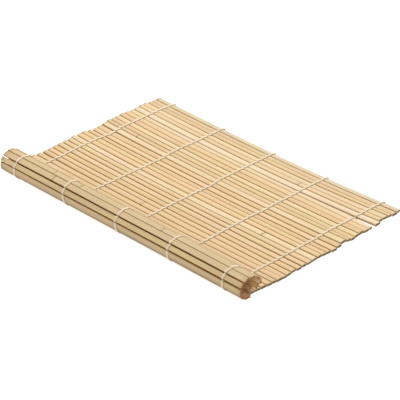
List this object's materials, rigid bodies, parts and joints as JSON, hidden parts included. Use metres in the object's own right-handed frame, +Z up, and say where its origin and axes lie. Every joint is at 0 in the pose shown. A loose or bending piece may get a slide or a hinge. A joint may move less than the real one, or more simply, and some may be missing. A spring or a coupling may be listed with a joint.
{
  "type": "sushi rolling mat",
  "caption": "Mat of split-bamboo slats bound side by side with cotton twine, lying flat with its near edge curled up into a hollow roll; it rolls up completely or unrolls flat.",
  "frame": {"origin": "middle of the footprint, on the surface that the mat lies on", "axes": "+X along the slats, +Y from the rolled edge to the far edge, +Z up"},
  "size_m": [0.2468, 0.1718, 0.0182],
  "materials": {
    "bamboo": "bare split bamboo, satin skin on one side",
    "twine": "undyed cotton twine"
  },
  "bodies": {
    "slat_01": {"slat_01": "bamboo", "far_edge_knots": "twine"},
    "slat_02": {"slat_02": "bamboo"},
    "slat_03": {"slat_03": "bamboo"},
    "slat_04": {"slat_04": "bamboo"},
    "slat_05": {"slat_05": "bamboo"},
    "slat_06": {"slat_06": "bamboo"},
    "slat_07": {"slat_07": "bamboo"},
    "slat_08": {"slat_08": "bamboo"},
    "slat_09": {"slat_09": "bamboo"},
    "slat_10": {"slat_10": "bamboo"},
    "slat_11": {"slat_11": "bamboo"},
    "slat_12": {"slat_12": "bamboo"},
    "slat_13": {"slat_13": "bamboo"},
    "slat_14": {"slat_14": "bamboo"},
    "slat_15": {"slat_15": "bamboo"},
    "slat_16": {"slat_16": "bamboo", "middle_twine_pads": "twine", "twine_1a": "twine", "twine_1b": "twine", "twine_2a": "twine", "twine_2b": "twine", "twine_3a": "twine", "twine_3b": "twine", "twine_4a": "twine", "twine_4b": "twine", "twine_5a": "twine", "twine_5b": "twine"},
    "slat_17": {"slat_17": "bamboo"},
    "slat_18": {"slat_18": "bamboo"},
    "slat_19": {"slat_19": "bamboo"},
    "slat_20": {"slat_20": "bamboo"},
    "slat_21": {"slat_21": "bamboo"},
    "slat_22": {"slat_22": "bamboo"},
    "slat_23": {"slat_23": "bamboo"},
    "slat_24": {"slat_24": "bamboo"},
    "slat_25": {"slat_25": "bamboo"},
    "slat_26": {"slat_26": "bamboo"},
    "slat_27": {"slat_27": "bamboo"},
    "slat_28": {"slat_28": "bamboo"},
    "slat_29": {"slat_29": "bamboo"},
    "slat_30": {"slat_30": "bamboo"},
    "slat_31": {"slat_31": "bamboo", "roll_base_twine_pads": "twine"},
    "slat_32": {"slat_32": "bamboo"},
    "slat_33": {"slat_33": "bamboo"},
    "slat_34": {"slat_34": "bamboo"},
    "slat_35": {"slat_35": "bamboo"},
    "slat_36": {"slat_36": "bamboo"},
    "slat_37": {"slat_37": "bamboo"},
    "slat_38": {"slat_38": "bamboo"},
    "slat_39": {"slat_39": "bamboo"},
    "slat_40": {"slat_40": "bamboo"},
    "slat_41": {"slat_41": "bamboo"},
    "slat_42": {"slat_42": "bamboo"},
    "slat_43": {"slat_43": "bamboo", "near_edge_knots": "twine"}
  },
  "joints": [
    {"name": "roll_near_middle", "type": "hinge", "parent": "slat_16", "child": "slat_17", "pos_m": [0, 0.00423, 0.0015], "axis": [1, 0, 0], "range_deg": [-25, 0], "deforming": ["twine_1a", "twine_1b", "twine_2a", "twine_2b", "twine_3a", "twine_3b", "twine_4a", "twine_4b", "twine_5a", "twine_5b"]},
    {"name": "hinge_17_18", "type": "hinge", "parent": "slat_17", "child": "slat_18", "pos_m": [0, -0.00062, 0.0015], "axis": [1, 0, 0], "range_deg": [-27.21, 0]},
    {"name": "hinge_18_19", "type": "hinge", "parent": "slat_18", "child": "slat_19", "pos_m": [0, -0.00602, 0.0015], "axis": [1, 0, 0], "range_deg": [-24.81, 0]},
    {"name": "hinge_19_20", "type": "hinge", "parent": "slat_19", "child": "slat_20", "pos_m": [0, -0.01177, 0.0015], "axis": [1, 0, 0], "range_deg": [-22.61, 0]},
    {"name": "hinge_20_21", "type": "hinge", "parent": "slat_20", "child": "slat_21", "pos_m": [0, -0.01652, 0.0015], "axis": [1, 0, 0], "range_deg": [-17.61, 0]},
    {"name": "hinge_21_22", "type": "hinge", "parent": "slat_21", "child": "slat_22", "pos_m": [0, -0.02152, 0.0015], "axis": [1, 0, 0], "range_deg": [-16.21, 0]},
    {"name": "hinge_22_23", "type": "hinge", "parent": "slat_22", "child": "slat_23", "pos_m": [0, -0.02702, 0.0015], "axis": [1, 0, 0], "range_deg": [-18.01, 0]},
    {"name": "roll_near_part", "type": "hinge", "parent": "slat_23", "child": "slat_24", "pos_m": [0, -0.03212, 0.0015], "axis": [1, 0, 0], "range_deg": [-20.6, 0]},
    {"name": "hinge_24_25", "type": "hinge", "parent": "slat_24", "child": "slat_25", "pos_m": [0, -0.03712, 0.0015], "axis": [1, 0, 0], "range_deg": [-23.81, 0]},
    {"name": "hinge_25_26", "type": "hinge", "parent": "slat_25", "child": "slat_26", "pos_m": [0, -0.04292, 0.0015], "axis": [1, 0, 0], "range_deg": [-24.41, 0]},
    {"name": "hinge_26_27", "type": "hinge", "parent": "slat_26", "child": "slat_27", "pos_m": [0, -0.04827, 0.0015], "axis": [1, 0, 0], "range_deg": [-24.01, 0]},
    {"name": "hinge_27_28", "type": "hinge", "parent": "slat_27", "child": "slat_28", "pos_m": [0, -0.05227, 0.0015], "axis": [1, 0, 0], "range_deg": [-26.21, 0]},
    {"name": "hinge_28_29", "type": "hinge", "parent": "slat_28", "child": "slat_29", "pos_m": [0, -0.05777, 0.0015], "axis": [1, 0, 0], "range_deg": [-30.01, 0]},
    {"name": "hinge_29_30", "type": "hinge", "parent": "slat_29", "child": "slat_30", "pos_m": [0, -0.06297, 0.0015], "axis": [1, 0, 0], "range_deg": [-32.41, 0]},
    {"name": "hinge_30_31", "type": "hinge", "parent": "slat_30", "child": "slat_31", "pos_m": [0, -0.06857, 0.0015], "axis": [1, 0, 0], "range_deg": [-33.61, 0]},
    {"name": "hinge_09_10", "type": "hinge", "parent": "slat_10", "child": "slat_09", "pos_m": [0, 0.03948, 0.0015], "axis": [-1, 0, 0], "range_deg": [-20.41, 0]},
    {"name": "hinge_10_11", "type": "hinge", "parent": "slat_11", "child": "slat_10", "pos_m": [0, 0.03423, 0.0015], "axis": [-1, 0, 0], "range_deg": [-21.21, 0]},
    {"name": "hinge_11_12", "type": "hinge", "parent": "slat_12", "child": "slat_11", "pos_m": [0, 0.02973, 0.0015], "axis": [-1, 0, 0], "range_deg": [-19.81, 0]},
    {"name": "hinge_12_13", "type": "hinge", "parent": "slat_13", "child": "slat_12", "pos_m": [0, 0.02498, 0.0015], "axis": [-1, 0, 0], "range_deg": [-16.61, 0]},
    {"name": "hinge_13_14", "type": "hinge", "parent": "slat_14", "child": "slat_13", "pos_m": [0, 0.01948, 0.0015], "axis": [-1, 0, 0], "range_deg": [-11.61, 0]},
    {"name": "hinge_14_15", "type": "hinge", "parent": "slat_15", "child": "slat_14", "pos_m": [0, 0.01423, 0.0015], "axis": [-1, 0, 0], "range_deg": [-11.41, 0]},
    {"name": "roll_far_middle", "type": "hinge", "parent": "slat_16", "child": "slat_15", "pos_m": [0, 0.00858, 0.0015], "axis": [-1, 0, 0], "range_deg": [-16.4, 0]},
    {"name": "hinge_01_02", "type": "hinge", "parent": "slat_02", "child": "slat_01", "pos_m": [0, 0.07973, 0.0015], "axis": [-1, 0, 0], "range_deg": [-12.01, 0]},
    {"name": "hinge_02_03", "type": "hinge", "parent": "slat_03", "child": "slat_02", "pos_m": [0, 0.07548, 0.0015], "axis": [-1, 0, 0], "range_deg": [-12.21, 0]},
    {"name": "hinge_03_04", "type": "hinge", "parent": "slat_04", "child": "slat_03", "pos_m": [0, 0.07098, 0.0015], "axis": [-1, 0, 0], "range_deg": [-14.01, 0]},
    {"name": "hinge_04_05", "type": "hinge", "parent": "slat_05", "child": "slat_04", "pos_m": [0, 0.06573, 0.0015], "axis": [-1, 0, 0], "range_deg": [-16.41, 0]},
    {"name": "hinge_05_06", "type": "hinge", "parent": "slat_06", "child": "slat_05", "pos_m": [0, 0.06098, 0.0015], "axis": [-1, 0, 0], "range_deg": [-18.41, 0]},
    {"name": "hinge_06_07", "type": "hinge", "parent": "slat_07", "child": "slat_06", "pos_m": [0, 0.05498, 0.0015], "axis": [-1, 0, 0], "range_deg": [-20.01, 0]},
    {"name": "hinge_07_08", "type": "hinge", "parent": "slat_08", "child": "slat_07", "pos_m": [0, 0.05048, 0.0015], "axis": [-1, 0, 0], "range_deg": [-18.61, 0]},
    {"name": "roll_far_part", "type": "hinge", "parent": "slat_09", "child": "slat_08", "pos_m": [0, 0.04498, 0.0015], "axis": [-1, 0, 0], "range_deg": [-18.8, 0]},
    {"name": "hinge_31_32", "type": "hinge", "parent": "slat_31", "child": "slat_32", "pos_m": [0, -0.07387, 0.0015], "axis": [1, 0, 0], "range_deg": [0, 5.01]},
    {"name": "edge_uncurl", "type": "hinge", "parent": "slat_32", "child": "slat_33", "pos_m": [0, -0.07985, 0.00202], "axis": [1, 0, 0], "range_deg": [0, 38]},
    {"name": "hinge_33_34", "type": "hinge", "parent": "slat_33", "child": "slat_34", "pos_m": [0, -0.08409, 0.00598], "axis": [1, 0, 0], "range_deg": [0, 43.51]},
    {"name": "hinge_34_35", "type": "hinge", "parent": "slat_34", "child": "slat_35", "pos_m": [0, -0.08443, 0.01152], "axis": [1, 0, 0], "range_deg": [0, 43.01]},
    {"name": "hinge_35_36", "type": "hinge", "parent": "slat_35", "child": "slat_36", "pos_m": [0, -0.08169, 0.01484], "axis": [1, 0, 0], "range_deg": [0, 29.01]},
    {"name": "hinge_36_37", "type": "hinge", "parent": "slat_36", "child": "slat_37", "pos_m": [0, -0.07685, 0.01674], "axis": [1, 0, 0], "range_deg": [0, 23.01]},
    {"name": "hinge_37_38", "type": "hinge", "parent": "slat_37", "child": "slat_38", "pos_m": [0, -0.07166, 0.01661], "axis": [1, 0, 0], "range_deg": [0, 30.51]},
    {"name": "hinge_38_39", "type": "hinge", "parent": "slat_38", "child": "slat_39", "pos_m": [0, -0.06733, 0.0139], "axis": [1, 0, 0], "range_deg": [0, 48.51]},
    {"name": "hinge_39_40", "type": "hinge", "parent": "slat_39", "child": "slat_40", "pos_m": [0, -0.06652, 0.00907], "axis": [1, 0, 0], "range_deg": [0, 48.51]},
    {"name": "hinge_40_41", "type": "hinge", "parent": "slat_40", "child": "slat_41", "pos_m": [0, -0.06973, 0.00511], "axis": [1, 0, 0], "range_deg": [0, 49.01]},
    {"name": "hinge_41_42", "type": "hinge", "parent": "slat_41", "child": "slat_42", "pos_m": [0, -0.07473, 0.00493], "axis": [1, 0, 0], "range_deg": [0, 46.51]},
    {"name": "hinge_42_43", "type": "hinge", "parent": "slat_42", "child": "slat_43", "pos_m": [0, -0.07837, 0.00851], "axis": [1, 0, 0], "range_deg": [0, 46.01]}
  ],
  "couplings": [
    {"joint": "hinge_17_18", "follows": "roll_near_middle", "ratio": 1.088},
    {"joint": "hinge_18_19", "follows": "roll_near_middle", "ratio": 0.992},
    {"joint": "hinge_19_20", "follows": "roll_near_middle", "ratio": 0.904},
    {"joint": "hinge_20_21", "follows": "roll_near_middle", "ratio": 0.704},
    {"joint": "hinge_21_22", "follows": "roll_near_middle", "ratio": 0.648},
    {"joint": "hinge_22_23", "follows": "roll_near_middle", "ratio": 0.72},
    {"joint": "hinge_24_25", "follows": "roll_near_part", "ratio": 1.1553},
    {"joint": "hinge_25_26", "follows": "roll_near_part", "ratio": 1.1845},
    {"joint": "hinge_26_27", "follows": "roll_near_part", "ratio": 1.165},
    {"joint": "hinge_27_28", "follows": "roll_near_part", "ratio": 1.2718},
    {"joint": "hinge_28_29", "follows": "roll_near_part", "ratio": 1.4563},
    {"joint": "hinge_29_30", "follows": "roll_near_part", "ratio": 1.5728},
    {"joint": "hinge_30_31", "follows": "roll_near_part", "ratio": 1.6311},
    {"joint": "hinge_09_10", "follows": "roll_far_middle", "ratio": 1.2439},
    {"joint": "hinge_10_11", "follows": "roll_far_middle", "ratio": 1.2927},
    {"joint": "hinge_11_12", "follows": "roll_far_middle", "ratio": 1.2073},
    {"joint": "hinge_12_13", "follows": "roll_far_middle", "ratio": 1.0122},
    {"joint": "hinge_13_14", "follows": "roll_far_middle", "ratio": 0.70732},
    {"joint": "hinge_14_15", "follows": "roll_far_middle", "ratio": 0.69512},
    {"joint": "hinge_01_02", "follows": "roll_far_part", "ratio": 0.6383},
    {"joint": "hinge_02_03", "follows": "roll_far_part", "ratio": 0.64894},
    {"joint": "hinge_03_04", "follows": "roll_far_part", "ratio": 0.74468},
    {"joint": "hinge_04_05", "follows": "roll_far_part", "ratio": 0.87234},
    {"joint": "hinge_05_06", "follows": "roll_far_part", "ratio": 0.97872},
    {"joint": "hinge_06_07", "follows": "roll_far_part", "ratio": 1.0638},
    {"joint": "hinge_07_08", "follows": "roll_far_part", "ratio": 0.98936},
    {"joint": "hinge_31_32", "follows": "edge_uncurl", "ratio": 0.13158},
    {"joint": "hinge_33_34", "follows": "edge_uncurl", "ratio": 1.1447},
    {"joint": "hinge_34_35", "follows": "edge_uncurl", "ratio": 1.1316},
    {"joint": "hinge_35_36", "follows": "edge_uncurl", "ratio": 0.76316},
    {"joint": "hinge_36_37", "follows": "edge_uncurl", "ratio": 0.60526},
    {"joint": "hinge_37_38", "follows": "edge_uncurl", "ratio": 0.80263},
    {"joint": "hinge_38_39", "follows": "edge_uncurl", "ratio": 1.2763},
    {"joint": "hinge_39_40", "follows": "edge_uncurl", "ratio": 1.2763},
    {"joint": "hinge_40_41", "follows": "edge_uncurl", "ratio": 1.2895},
    {"joint": "hinge_41_42", "follows": "edge_uncurl", "ratio": 1.2237},
    {"joint": "hinge_42_43", "follows": "edge_uncurl", "ratio": 1.2105}
  ]
}
